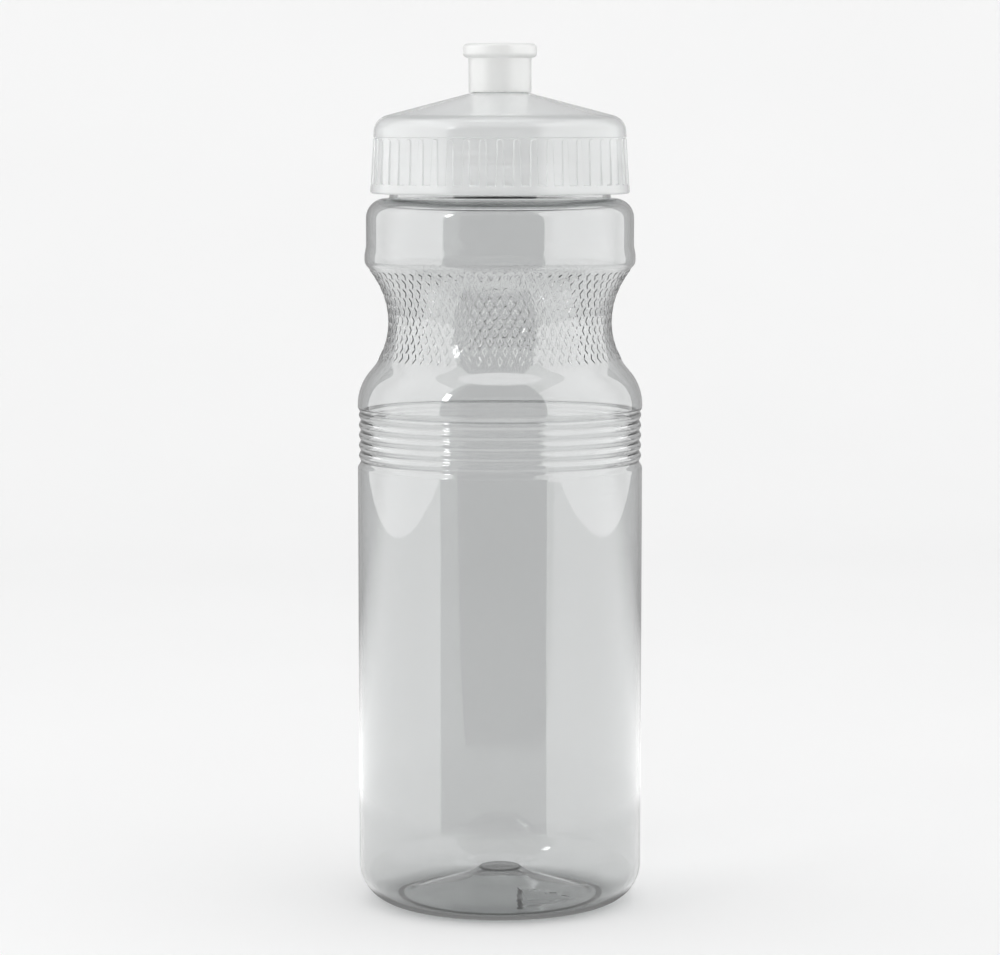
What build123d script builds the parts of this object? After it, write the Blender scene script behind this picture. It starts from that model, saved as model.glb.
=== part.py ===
"""A 24 oz (710 ml) bicycle bottle: blown bottle, flat seal, screw cap and push-pull mouthpiece.

Millimetres, +Z up. The origin is the middle of the ring that the bottle stands on.
-Y is the front. The screw thread is right-hand, single start.
"""
from build123d import *
from math import atan2, cos, degrees, hypot, radians, sin, sqrt, tan
import os

# ---------------------------------------------------------------- driving dimensions
# Bottle body
body_radius = 36.5          # fits a standard bicycle bottle cage
wall = 0.9                  # blown wall
heel_radius = 9.7           # round between the standing ring and the side
land_width = 1.8            # flat of the standing ring
straight_height = 112.7     # top of the straight side, where the hoop ribs begin

# Hoop ribs
rib_count = 5
rib_pitch = 2.6
rib_base_radius = 35.7
rib_height = 0.5
rib_width = 2.1
rib_run_in = 0.8            # axial length of the step at each end of the ribbed band

# Waist and shoulder
bulge_land = 1.6            # straight part between the ribs and the waist
bulge_round = 13.0          # convex round into the waist
waist_radius = 28.4
lower_waist_round = 18.4    # concave round below the waist
upper_waist_round = 21.4    # concave round above the waist
collar_lip = 0.4            # lower edge of the shoulder collar, proud of its band
collar_edge = 2.0           # height of the collar's edge
collar_step = 2.3           # height over which the collar draws in
collar_band_height = 7.3
shoulder_width = 6.0        # from the neck to the collar's band
shoulder_round = 5.0

# Neck and thread
neck_radius = 28.2
neck_height = 18.55
lip_round = 0.35
thread_pitch = 25.4 / 6.0   # six threads to the inch
thread_height = 1.3
thread_foot = 2.2           # width at the foot of the ridge
thread_crest = 0.8          # width at the crest
thread_sink = 0.3           # how far a ridge's section is buried in its wall
neck_thread_turns = 2.4
neck_thread_below_lip = 5.2 # top end of the neck's ridge, at the middle of the ridge
neck_thread_end = -65.0     # angle of that top end, degrees from +X
cap_thread_turns = 2.0
cap_thread_above_skirt = 2.2
flank_gap = 0.25            # between the two ridges' loaded flanks
crest_gap = 0.5             # between a crest and the wall it faces

# Base
boss_foot_radius = 8.4
boss_top_radius = 5.1
floor_rise = 5.3            # height of the base cone at the boss
boss_rise = 7.4
pocket_corner = (5.0, -11.2)
pocket_leg_angles = (-88.0, -5.0)
pocket_floor = 0.35         # underside of the register pocket

# Seal
seal_thickness = 0.9
seal_overhang = 0.6         # inside the neck's bore
seal_edge_gap = 0.3

# Cap
skirt_gap = 1.2             # between the shoulder and the skirt's lower edge
skirt_wall = 3.1            # at the lower edge, outside the thread's bore
skirt_taper = 1.2           # from there to where the skirt's line meets the dome's line
skirt_edge_round = 0.6
dome_slope = 14.75          # degrees
dome_corner = 4.4
dome_over_seat = 0.75       # the dome's line over the seal's seat, at the skirt
dome_thickness = 1.7
seat_overhang = 0.1         # inside the seal
grip_count = 48
grip_margin_low = 2.4
grip_margin_high = 1.6      # below the start of the dome's corner
grip_depth = 0.4
grip_width = 1.6

# Post, plug and mouthpiece
post_radius = 6.2
post_wall = 1.1
post_height = 7.8           # above the dome's line at the post
bead_lip = 0.5              # proud of the post
bead_height = 1.2
plug_radius = 2.45
plug_rise = 3.7             # plug's top above the post's top
plug_length = 8.2
spoke_count = 3
spoke_width = 1.2
spoke_height = 3.0
slide_gap = 0.15            # radial, between the mouthpiece and the post or the plug
stem_wall = 1.15
stem_clear = 0.3            # under the closed mouthpiece
stem_lip_height = 1.2
flange_lip = 1.4            # proud of the stem
flange_height = 3.5
post_top_gap = 0.8          # between the post's top and the mouthpiece's ceiling

# ---------------------------------------------------------------- sizes that follow
collar_band_radius = neck_radius + shoulder_width
collar_radius = collar_band_radius + collar_lip
ribs_low = straight_height + rib_run_in
ribs_high = ribs_low + rib_count * rib_pitch - (rib_pitch - rib_width)
bulge_low = ribs_high + rib_run_in
bulge_high = bulge_low + bulge_land

# The two rounds of the lower waist meet tangentially, which fixes the waist's height.
waist_span = waist_radius + lower_waist_round - (body_radius - bulge_round)
waist_height = bulge_high + sqrt((lower_waist_round + bulge_round) ** 2 - waist_span ** 2)
collar_gain = collar_radius - waist_radius
collar_low = waist_height + sqrt(upper_waist_round ** 2 - (upper_waist_round - collar_gain) ** 2)
collar_high = collar_low + collar_edge + collar_step + collar_band_height
neck_base = collar_high + shoulder_round
lip_height = neck_base + neck_height
neck_bore = neck_radius - wall
seal_inner_radius = neck_bore - seal_overhang
seat_inner_radius = seal_inner_radius - seat_overhang

seat_height = lip_height + seal_thickness
skirt_low = neck_base + skirt_gap
cap_bore = neck_radius + thread_height + crest_gap
cap_thread_crest = neck_radius + crest_gap
skirt_radius = cap_bore + skirt_wall
skirt_top_radius = skirt_radius - skirt_taper
flank_slope = (thread_foot - thread_crest) / 2 / thread_height

dome_rise = tan(radians(dome_slope))
dome_low = seat_height + dome_over_seat


def dome_line(radius):
    """Height of the dome's upper surface at a radius."""
    return dome_low + (skirt_top_radius - radius) * dome_rise


post_top = dome_line(post_radius) + post_height
bead_radius = post_radius + bead_lip
stem_bore = bead_radius + slide_gap
stem_radius = stem_bore + stem_wall
flange_radius = stem_radius + flange_lip
stem_lip_bore = post_radius + slide_gap
stem_low = dome_line(stem_lip_bore) + stem_clear
ceiling = post_top + post_top_gap
flange_top = ceiling + flange_height
drink_radius = plug_radius + slide_gap
pull_travel = post_top - bead_height - (stem_low + stem_lip_height)

os.makedirs("parts", exist_ok=True)


# ---------------------------------------------------------------- shared shapes
def thread_ridge(foot_radius, crest_radius, turns):
    """One right-hand ridge that starts at angle 0, height 0; the crest may face in or out."""
    side = 1 if crest_radius > foot_radius else -1
    buried = foot_radius - side * thread_sink
    buried_half = thread_foot / 2 + flank_slope * thread_sink
    with BuildPart() as ridge:
        with BuildLine() as path:
            Helix(pitch=thread_pitch, height=turns * thread_pitch, radius=foot_radius)
        with BuildSketch(Plane.XZ):
            with BuildLine():
                Polyline(
                    (buried, -buried_half),
                    (crest_radius, -thread_crest / 2),
                    (crest_radius, thread_crest / 2),
                    (buried, buried_half),
                    close=True,
                )
            make_face()
        sweep(path=path.line, is_frenet=True)
    return ridge.part


# ---------------------------------------------------------------- bottle
def bottle_outline():
    """Half outline of the bottle's outside, from the axis at the base to the axis at the lip."""
    ring_outer = body_radius - heel_radius
    ring_inner = ring_outer - land_width
    join = hypot(waist_span, waist_height - bulge_high)
    tangent = (
        body_radius - bulge_round + waist_span * bulge_round / join,
        bulge_high + (waist_height - bulge_high) * bulge_round / join,
    )
    bulge_turn = atan2(waist_height - bulge_high, waist_span)
    waist_turn = atan2(collar_low - waist_height, upper_waist_round - collar_gain)
    with BuildLine() as outline:
        Polyline((0, boss_rise), (boss_top_radius, boss_rise), (boss_foot_radius, floor_rise))
        Polyline((boss_foot_radius, floor_rise), (ring_inner, 0), (ring_outer, 0))
        CenterArc((ring_outer, heel_radius), heel_radius, -90, 90)
        Polyline((body_radius, heel_radius), (body_radius, straight_height), (rib_base_radius, ribs_low))
        Polyline((rib_base_radius, ribs_low), (rib_base_radius, ribs_high), (body_radius, bulge_low))
        Line((body_radius, bulge_low), (body_radius, bulge_high))
        CenterArc((body_radius - bulge_round, bulge_high), bulge_round, 0, degrees(bulge_turn))
        CenterArc(
            (waist_radius + lower_waist_round, waist_height),
            lower_waist_round,
            180 + degrees(bulge_turn),
            -degrees(bulge_turn),
        )
        CenterArc(
            (waist_radius + upper_waist_round, waist_height),
            upper_waist_round,
            180,
            -degrees(waist_turn),
        )
        Polyline(
            (collar_radius, collar_low),
            (collar_radius, collar_low + collar_edge),
            (collar_band_radius, collar_low + collar_edge + collar_step),
            (collar_band_radius, collar_high),
        )
        CenterArc((collar_band_radius - shoulder_round, collar_high), shoulder_round, 0, 90)
        Polyline(
            (collar_band_radius - shoulder_round, neck_base),
            (neck_radius, neck_base),
            (neck_radius, lip_height - lip_round),
        )
        CenterArc((neck_radius - lip_round, lip_height - lip_round), lip_round, 0, 90)
        Polyline((neck_radius - lip_round, lip_height), (0, lip_height), (0, boss_rise))
    return outline.line


def pocket_points(inset):
    """The register pocket's plan: a wedge whose corner is near the boss, moved out by inset."""
    reach = body_radius - heel_radius - land_width
    low, high = pocket_leg_angles
    middle = radians((low + high) / 2)
    half = radians((high - low) / 2)
    corner = (
        pocket_corner[0] - inset / sin(half) * cos(middle),
        pocket_corner[1] - inset / sin(half) * sin(middle),
    )
    ends = [(corner[0] + reach * cos(radians(a)), corner[1] + reach * sin(radians(a))) for a in (low, high)]
    return [corner, ends[0], ends[1]]


def register_pocket(inset, floor):
    """The wedge from its floor up to the boss's height, kept inside the standing ring."""
    with BuildPart() as wedge:
        with BuildSketch(Plane.XY.offset(floor)):
            with BuildLine():
                Polyline(*pocket_points(inset), close=True)
            make_face()
            Circle(body_radius - heel_radius - land_width, mode=Mode.INTERSECT)
        extrude(amount=boss_rise - floor)
    return wedge.part


outline = bottle_outline()
neck_ridge = thread_ridge(neck_radius, neck_radius + thread_height, neck_thread_turns)
neck_ridge_low = lip_height - neck_thread_below_lip - neck_thread_turns * thread_pitch
neck_ridge_start = neck_thread_end - 360 * neck_thread_turns

with BuildSketch(Plane.XZ) as cavity_section:
    make_face(outline)
    mirror(about=Plane.YZ)
    offset(amount=-wall, mode=Mode.REPLACE)
    with Locations((body_radius, lip_height / 2)):
        Rectangle(2 * body_radius, 2 * lip_height, mode=Mode.INTERSECT)

with BuildPart() as bottle:
    with BuildSketch(Plane.XZ):
        make_face(outline)
    revolve(axis=Axis.Z)
    for rib in range(rib_count):
        crest_radius = rib_base_radius + rib_height
        round_radius = (rib_width ** 2 / 4 + rib_height ** 2) / (2 * rib_height)
        with BuildSketch(Plane.XZ):
            with Locations((crest_radius - round_radius, ribs_low + rib_width / 2 + rib * rib_pitch)):
                Circle(round_radius)
        revolve(axis=Axis.Z)
    add(register_pocket(wall, pocket_floor))
    add(cavity_section.sketch)
    revolve(axis=Axis.Z, mode=Mode.SUBTRACT)
    with BuildSketch(Plane.XY.offset(neck_base)):
        Circle(neck_bore)
    extrude(amount=neck_height, mode=Mode.SUBTRACT)
    add(register_pocket(0, pocket_floor + wall), mode=Mode.SUBTRACT)
    with Locations((0, 0, neck_ridge_low)):
        add(neck_ridge, rotation=(0, 0, neck_ridge_start))
bottle.part.label = "bottle"
export_step(bottle.part, "parts/bottle.step")

# ---------------------------------------------------------------- seal ring
with BuildPart() as seal_ring:
    with BuildSketch(Plane.XY.offset(lip_height)):
        Circle(cap_bore - seal_edge_gap)
        Circle(seal_inner_radius, mode=Mode.SUBTRACT)
    extrude(amount=seal_thickness)
seal_ring.part.label = "seal_ring"
export_step(seal_ring.part, "parts/seal_ring.step")

# ---------------------------------------------------------------- screw cap
# The cap's ridge bears up against the underside of the neck's ridge.
ridge_overlap = thread_height - crest_gap
ridge_step = (thread_foot + thread_crest) / 2 - flank_slope * ridge_overlap + flank_gap
cap_ridge = thread_ridge(cap_bore, cap_thread_crest, cap_thread_turns)
cap_ridge_low = skirt_low + cap_thread_above_skirt
helix_height_there = cap_ridge_low + ridge_step
cap_ridge_start = neck_thread_end + 360 * (helix_height_there - (lip_height - neck_thread_below_lip)) / thread_pitch
release_turns = neck_thread_turns - (helix_height_there - neck_ridge_low) / thread_pitch


def skirt_line(height):
    """Radius of the skirt's outer surface at a height."""
    share = (height - skirt_low) / (dome_low - skirt_low)
    return skirt_radius + (skirt_top_radius - skirt_radius) * share


panel_low = skirt_low + grip_margin_low
panel_high = dome_low - dome_corner * tan(radians(45 - dome_slope / 2)) - grip_margin_high
panel_points = [
    (skirt_line(panel_low) - grip_depth, panel_low),
    (skirt_line(panel_low) + grip_depth, panel_low),
    (skirt_line(panel_high) + grip_depth, panel_high),
    (skirt_line(panel_high) - grip_depth, panel_high),
]
bar_points = [
    (skirt_line(panel_low) - 2 * grip_depth, panel_low),
    (skirt_line(panel_low), panel_low),
    (skirt_line(panel_high), panel_high),
    (skirt_line(panel_high) - 2 * grip_depth, panel_high),
]
plug_top = post_top + plug_rise
bead_points = [
    (post_radius - post_wall / 2, post_top - bead_height),
    (bead_radius, post_top - bead_height),
    (bead_radius, post_top - bead_height / 2),
    (post_radius, post_top),
    (post_radius - post_wall / 2, post_top),
]

with BuildPart() as grip_bars:
    with BuildSketch(Plane.XZ):
        with BuildLine():
            Polyline(*bar_points, close=True)
        make_face()
    revolve(axis=Axis.Z)
    with BuildSketch(Plane.XY.offset(panel_low)):
        with PolarLocations(skirt_radius, grip_count):
            Rectangle(skirt_radius / 4, grip_width)
    extrude(amount=panel_high - panel_low, mode=Mode.INTERSECT)

with BuildPart() as screw_cap:
    with BuildSketch(Plane.XZ) as cap_section:
        with BuildLine():
            Polyline(
                (cap_bore, skirt_low),
                (skirt_radius, skirt_low),
                (skirt_top_radius, dome_low),
                (post_radius, dome_line(post_radius)),
                (post_radius, post_top),
                (post_radius - post_wall, post_top),
                (post_radius - post_wall, dome_line(post_radius) - dome_thickness),
                (seat_inner_radius, dome_line(seat_inner_radius) - dome_thickness),
                (seat_inner_radius, seat_height),
                (cap_bore, seat_height),
                close=True,
            )
        make_face()
        fillet(cap_section.vertices().group_by(Axis.Y)[0].sort_by(Axis.X)[-1], skirt_edge_round)
        dome_edge = cap_section.vertices().filter_by(lambda v: abs(v.Y - dome_low) < 1e-6)
        fillet(dome_edge.sort_by(Axis.X)[-1], dome_corner)
    revolve(axis=Axis.Z)

    # The grip: a shallow panel round the skirt, crossed by upright bars flush with the skirt.
    with BuildSketch(Plane.XZ):
        with BuildLine():
            Polyline(*panel_points, close=True)
        make_face()
    revolve(axis=Axis.Z, mode=Mode.SUBTRACT)
    add(grip_bars.part)

    with Locations((0, 0, cap_ridge_low)):
        add(cap_ridge, rotation=(0, 0, cap_ridge_start))

    # The plug that shuts the mouthpiece stands in the post on three spokes.
    with BuildSketch(Plane.XY.offset(plug_top - plug_length)):
        Circle(plug_radius)
    extrude(amount=plug_length)
    with BuildSketch(Plane.XY.offset(plug_top - plug_length)):
        with PolarLocations((post_radius - post_wall / 2) / 2, spoke_count, start_angle=90):
            Rectangle(post_radius - post_wall / 2, spoke_width)
    extrude(amount=spoke_height)
    with BuildSketch(Plane.XZ):
        with BuildLine():
            Polyline(*bead_points, close=True)
        make_face()
    revolve(axis=Axis.Z)
screw_cap.part.label = "screw_cap"
export_step(screw_cap.part, "parts/screw_cap.step")

# ---------------------------------------------------------------- mouthpiece
flange_round = flange_height / 2
with BuildPart() as mouthpiece:
    with BuildSketch(Plane.XZ):
        with BuildLine():
            CenterArc((flange_radius - flange_round, ceiling + flange_round), flange_round, -90, 180)
            Polyline(
                (flange_radius - flange_round, flange_top),
                (drink_radius, flange_top),
                (drink_radius, ceiling),
                (stem_bore, ceiling),
                (stem_bore, stem_low + stem_lip_height),
                (stem_lip_bore, stem_low + stem_lip_height),
                (stem_lip_bore, stem_low),
                (stem_radius, stem_low),
                (stem_radius, ceiling),
                (flange_radius - flange_round, ceiling),
            )
        make_face()
    revolve(axis=Axis.Z)
mouthpiece.part.label = "mouthpiece"
export_step(mouthpiece.part, "parts/mouthpiece.step")

print(f"The threads part after {release_turns:.3f} turns, a rise of {release_turns * thread_pitch:.2f} mm.")
print(f"The mouthpiece pulls out {pull_travel:.2f} mm.")
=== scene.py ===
# %% [markdown]
# # A clear bicycle bottle
# This notebook builds the looks of a 24 oz bicycle bottle in Blender: a blown clear bottle, a moulded
# screw cap, a push-pull mouthpiece and the flat seal between cap and lip. The CAD model is loaded first
# as a fixed frame. It says how big every piece is and how the pieces move. Blender only adds the looks.

# %% Load the frame
import math

import bmesh
import bpy
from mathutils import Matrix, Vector
from mathutils.geometry import delaunay_2d_cdt


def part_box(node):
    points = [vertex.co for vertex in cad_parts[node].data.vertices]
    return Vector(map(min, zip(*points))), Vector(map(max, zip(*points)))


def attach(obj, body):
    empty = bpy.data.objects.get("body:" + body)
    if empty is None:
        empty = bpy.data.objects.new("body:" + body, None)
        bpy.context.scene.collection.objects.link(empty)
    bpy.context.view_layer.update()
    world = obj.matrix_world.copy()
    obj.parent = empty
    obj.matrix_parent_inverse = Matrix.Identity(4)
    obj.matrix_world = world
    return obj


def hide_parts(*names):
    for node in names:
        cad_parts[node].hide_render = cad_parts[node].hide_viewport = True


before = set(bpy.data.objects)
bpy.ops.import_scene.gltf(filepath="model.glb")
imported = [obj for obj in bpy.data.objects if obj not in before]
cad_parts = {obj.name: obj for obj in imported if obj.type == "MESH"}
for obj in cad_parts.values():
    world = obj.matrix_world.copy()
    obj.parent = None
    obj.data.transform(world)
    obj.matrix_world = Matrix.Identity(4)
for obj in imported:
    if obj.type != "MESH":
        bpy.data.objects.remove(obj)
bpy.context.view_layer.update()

MM = 0.001
bottle_low, bottle_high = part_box("bottle")
cap_low, cap_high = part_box("screw_cap")
mouth_low, mouth_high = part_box("mouthpiece")
seal_low, seal_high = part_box("seal_ring")
print("bottle is", round((bottle_high.x - bottle_low.x) / MM, 2), "mm across")
print("lip at", round(bottle_high.z / MM, 2), "mm, mouthpiece top at", round(mouth_high.z / MM, 2), "mm")

# %% [markdown]
# ## Turned outlines
# Nearly every surface of the bottle is a turned one: an outline swung round the upright axis. The Spin
# tool or a Screw modifier would do it, but then each ring of points has the same count. A small lathe of
# our own can also take an outline whose radius changes with the angle, which the grip of the cap needs.
# An outline is a list of (radius, height) points in millimetres, built from straight runs and arcs.

# %% Outline helpers


def arc(centre, radius, start, end, steps):
    """Points of an arc from start to end degrees; 0 points outwards and 90 points up."""
    turns = [math.radians(start + (end - start) * i / steps) for i in range(steps + 1)]
    return [(centre[0] + radius * math.cos(t), centre[1] + radius * math.sin(t)) for t in turns]


def run(start, end, steps):
    """Points of a straight run, without its first point."""
    return [
        (start[0] + (end[0] - start[0]) * i / steps, start[1] + (end[1] - start[1]) * i / steps)
        for i in range(1, steps + 1)
    ]


def inset(outline, amount):
    """The outline moved to its left-hand side by amount, point by point, along its own normals."""
    moved = []
    for i, (r, z) in enumerate(outline):
        before = outline[max(i - 1, 0)]
        after = outline[min(i + 1, len(outline) - 1)]
        along = Vector((after[0] - before[0], after[1] - before[1])).normalized()
        moved.append((r - along.y * amount, z + along.x * amount))
    return moved


def rounded(corners, steps=6):
    """A polyline of (radius, height, rounding) corners, each drawn as a short smooth curve."""
    points = [corners[0][:2]]
    for before, here, after in zip(corners, corners[1:], corners[2:]):
        corner = Vector(here[:2])
        back = (Vector(before[:2]) - corner).normalized()
        ahead = (Vector(after[:2]) - corner).normalized()
        reach = here[2] / math.tan(back.angle(ahead) / 2)
        start, end = corner + back * reach, corner + ahead * reach
        for i in range(steps + 1):
            t = i / steps
            points.append(tuple(start * (1 - t) ** 2 + corner * (2 * t * (1 - t)) + end * t ** 2))
    return points + [corners[-1][:2]]


def even_angles(count):
    """Angles of count columns all round, starting at +X."""
    return [2 * math.pi * i / count for i in range(count)]


# %% Mesh helpers


def ring(bm, radius, height, angles):
    """One ring of vertices, in metres from millimetres."""
    return [bm.verts.new((radius * math.cos(a) * MM, radius * math.sin(a) * MM, height * MM)) for a in angles]


def bridge(bm, low, high):
    """A band of faces between two rings; a ring with four times the vertices is fanned."""
    if len(low) == len(high):
        count = len(low)
        for i in range(count):
            j = (i + 1) % count
            bm.faces.new((low[i], low[j], high[j], high[i]))
        return
    coarse, fine, up = (low, high, True) if len(low) < len(high) else (high, low, False)
    count = len(coarse)
    for i in range(count):
        a, b = coarse[i], coarse[(i + 1) % count]
        f = [fine[(4 * i + k) % len(fine)] for k in range(5)]
        fan = [(a, f[1], f[0]), (a, f[2], f[1]), (a, b, f[2]), (b, f[3], f[2]), (b, f[4], f[3])]
        for face in fan:
            bm.faces.new(face if up else face[::-1])


def lathe(bm, outline, angles, closed=False):
    """Swings an outline round the axis and returns its rings."""
    rings = [ring(bm, r, z, angles) for r, z in outline]
    pairs = zip(rings, rings[1:] + rings[:1]) if closed else zip(rings, rings[1:])
    for low, high in pairs:
        bridge(bm, low, high)
    return rings


def mesh_of(name, bm):
    """A bmesh as a mesh."""
    mesh = bpy.data.meshes.new(name)
    bm.to_mesh(mesh)
    bm.free()
    return mesh


def placed(name, data):
    """A mesh, lamp or camera as an object in the scene."""
    thing = bpy.data.objects.new(name, data)
    bpy.context.scene.collection.objects.link(thing)
    return thing


def finished(name, bm, material, smooth_under):
    """Turns a bmesh into an object: outward normals, smooth where faces meet under an angle."""
    bmesh.ops.recalc_face_normals(bm, faces=bm.faces[:])
    mesh = mesh_of(name, bm)
    piece = placed(name, mesh)
    mesh.shade_smooth()
    mesh.set_sharp_from_angle(angle=math.radians(smooth_under))
    mesh.materials.append(material)
    print(name, len(mesh.vertices), "vertices,", len(mesh.loop_triangles) or len(mesh.polygons), "faces")
    return piece


# %% [markdown]
# ## Adding nodes
# Materials and Geometry Nodes are both node trees. One small function adds a node, sets its options and
# fills its inputs: an input is either a plain value or the output of an earlier node.

# %% One function for every node


def put(tree, kind, options=None, inputs=None):
    """Adds a node; inputs map a socket's name or number to a value or to another node's output."""
    node = tree.nodes.new(kind)
    for name, value in (options or {}).items():
        setattr(node, name, value)
    for key, value in (inputs or {}).items():
        if isinstance(value, bpy.types.NodeSocket):
            tree.links.new(value, node.inputs[key])
        else:
            node.inputs[key].default_value = value
    return node


def maths(tree, operation, first, second):
    """The result of one Math node."""
    return put(tree, "ShaderNodeMath", {"operation": operation}, {0: first, 1: second}).outputs[0]


def smooth_step(tree, value, start, end, first=0.0, last=1.0):
    """A smooth change from first to last while the value goes from start to end."""
    inputs = {"Value": value, "From Min": start, "From Max": end, "To Min": first, "To Max": last}
    return put(tree, "ShaderNodeMapRange", {"interpolation_type": "SMOOTHSTEP"}, inputs).outputs[0]


def grey(value):
    """A grey as linear RGBA."""
    return [value] * 3 + [1.0]


def linear(hex_colour):
    """An sRGB hex colour as the linear RGBA that shaders take."""
    channels = [int(hex_colour[i:i + 2], 16) / 255 for i in (1, 3, 5)]
    return [c / 12.92 if c <= 0.04045 else ((c + 0.055) / 1.055) ** 2.4 for c in channels] + [1.0]


def new_material(name):
    """An empty material and its node tree."""
    material = bpy.data.materials.new(name)
    material.use_nodes = True
    material.node_tree.nodes.clear()
    return material, material.node_tree


def noise(tree, place, scale, detail=2.0):
    """The value of a noise texture laid over a piece."""
    inputs = {"Vector": place, "Scale": scale, "Detail": detail}
    return put(tree, "ShaderNodeTexNoise", {}, inputs).outputs[0]


def blend(tree, share, first, second):
    """A colour between two colours."""
    inputs = {"Factor": share, 6: first, 7: second}
    return put(tree, "ShaderNodeMix", {"data_type": "RGBA"}, inputs).outputs[2]


def let_shadows_pass(tree, shader, tint):
    """Makes the material's output: the shader, but only a tint for shadow rays."""
    through = put(tree, "ShaderNodeBsdfTransparent", {}, {"Color": linear(tint)})
    ray = put(tree, "ShaderNodeLightPath")
    inputs = {0: ray.outputs["Is Shadow Ray"], 1: shader.outputs[0], 2: through.outputs[0]}
    mix = put(tree, "ShaderNodeMixShader", {}, inputs)
    put(tree, "ShaderNodeOutputMaterial", {}, {"Surface": mix.outputs[0]})


# %% [markdown]
# ## Clear polyester
# The bottle is blown from clear polyester (PET). It is glassy: a high gloss, IOR 1.57, and almost no
# colour. What tells it from glass is its skin. The parison stretches unevenly, so the wall carries long,
# faint ripples that bend reflections, drawn out along the axis. A shadow ray passes straight through, as
# light would fall through a thin clear wall, because the renderer doesn't trace light focused by it.

# %% Clear polyester material
PET_IOR = 1.57
RIPPLE_STRETCH = (1.0, 1.0, 0.25)


def clear_polyester():
    """Blown PET: glassy, faintly grey, with slow ripples in the wall."""
    material, tree = new_material("polyester_blown_clear")
    place = put(tree, "ShaderNodeTexCoord").outputs["Object"]
    stretched = put(tree, "ShaderNodeMapping", {}, {"Vector": place, "Scale": RIPPLE_STRETCH})
    ripple = noise(tree, stretched.outputs[0], 70.0, 1.0)
    bump = put(tree, "ShaderNodeBump", {}, {"Height": ripple, "Strength": 0.07, "Distance": 0.0006})
    gloss = noise(tree, place, 220.0)
    rough = put(tree, "ShaderNodeMapRange", {}, {"Value": gloss, "To Min": 0.01, "To Max": 0.035})
    look = {
        "Base Color": linear("#E5E6E6"),
        "IOR": PET_IOR,
        "Transmission Weight": 1.0,
        "Roughness": rough.outputs[0],
        "Normal": bump.outputs[0],
    }
    let_shadows_pass(tree, put(tree, "ShaderNodeBsdfPrincipled", {}, look), "#F1F2F2")
    return material


polyester = clear_polyester()

# %% [markdown]
# ## Natural polypropylene and polyethylene
# The cap has no pigment. Polypropylene is milky by itself: light gets through but scatters, so what lies
# right behind it shows and what lies further back blurs. Rough transmission gives just that. The mould
# leaves a fine satin texture, drawn here with a 0.4 mm grain so that it shows. The
# mouthpiece is soft polyethylene, which is milkier still.

# %% Milky plastics
ROUGHNESS_SPREAD = 0.04


def milky_plastic(name, colour, clearness, roughness, ior, grain_mm):
    """A natural polyolefin: part rough transmission, part scatter, with a fine moulded grain."""
    material, tree = new_material(name)
    place = put(tree, "ShaderNodeTexCoord").outputs["Object"]
    grain = noise(tree, place, 1 / (grain_mm * MM))
    tint = blend(tree, noise(tree, place, 90.0), linear(colour[0]), linear(colour[1]))
    bump = put(tree, "ShaderNodeBump", {}, {"Height": grain, "Strength": 0.15, "Distance": 0.00006})
    limits = {"To Min": roughness - ROUGHNESS_SPREAD, "To Max": roughness + ROUGHNESS_SPREAD}
    rough = put(tree, "ShaderNodeMapRange", {}, {"Value": grain, **limits})
    look = {
        "Base Color": tint,
        "IOR": ior,
        "Transmission Weight": clearness,
        "Roughness": rough.outputs[0],
        "Normal": bump.outputs[0],
    }
    let_shadows_pass(tree, put(tree, "ShaderNodeBsdfPrincipled", {}, look), colour[1])
    return material


polypropylene = milky_plastic("polypropylene_moulded_natural", ("#FAFBFB", "#F5F6F6"), 0.53, 0.16, 1.49, 0.4)
polyethylene = milky_plastic("polyethylene_moulded_soft", ("#F6F6F5", "#F1F2F1"), 0.32, 0.32, 1.51, 0.4)
seal_foam = milky_plastic("polyethylene_foam_sheet", ("#E4E6E6", "#D5D8D8"), 0.25, 0.5, 1.5, 0.5)

# %% [markdown]
# ## The bottle's outline
# The outline follows the CAD model: a standing ring, a heel, a plain side for the bicycle's cage, five
# hoop ribs, the waist, the collar and the neck. The two rounds of the lower waist touch tangentially, and
# that tells how high the waist sits.

# %% Bottle sizes, in millimetres
WALL = 0.9
PARTING_RIDGE = 0.04
BODY = bottle_high.x / MM - PARTING_RIDGE      # the ridge then reaches the frame's radius
HEEL = 9.7
RING_OUTER = BODY - HEEL
RING_INNER = RING_OUTER - 1.8
STRAIGHT_TOP = 112.7
RIB_COUNT, RIB_PITCH, RIB_BASE, RIB_CREST, RIB_WIDTH, RIB_RUN_IN = 5, 2.6, 35.7, 36.2, 2.1, 0.8
RIBS_LOW = STRAIGHT_TOP + RIB_RUN_IN
RIBS_HIGH = RIBS_LOW + RIB_COUNT * RIB_PITCH - (RIB_PITCH - RIB_WIDTH)
BULGE_LOW = RIBS_HIGH + RIB_RUN_IN
BULGE_HIGH = BULGE_LOW + 1.6
BULGE_ROUND, WAIST, WAIST_LOWER, WAIST_UPPER = 13.0, 28.4, 18.4, 21.4
waist_span = WAIST + WAIST_LOWER - (BODY - BULGE_ROUND)
WAIST_HEIGHT = BULGE_HIGH + math.sqrt((WAIST_LOWER + BULGE_ROUND) ** 2 - waist_span ** 2)
BULGE_TURN = math.degrees(math.atan2(WAIST_HEIGHT - BULGE_HIGH, waist_span))
NECK = 28.2
COLLAR_BAND = NECK + 6.0
COLLAR = COLLAR_BAND + 0.4
collar_rise = math.sqrt(WAIST_UPPER ** 2 - (WAIST_UPPER - (COLLAR - WAIST)) ** 2)
COLLAR_LOW = WAIST_HEIGHT + collar_rise
COLLAR_HIGH = COLLAR_LOW + 11.6
SHOULDER = 5.0
STEP_ROUND = 1.3
NECK_BASE = COLLAR_HIGH + SHOULDER
LIP = bottle_high.z / MM
LIP_ROUND = 0.35
SHARP_FROM = 24        # degrees between faces of the bottle, from where an edge stays sharp
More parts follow.
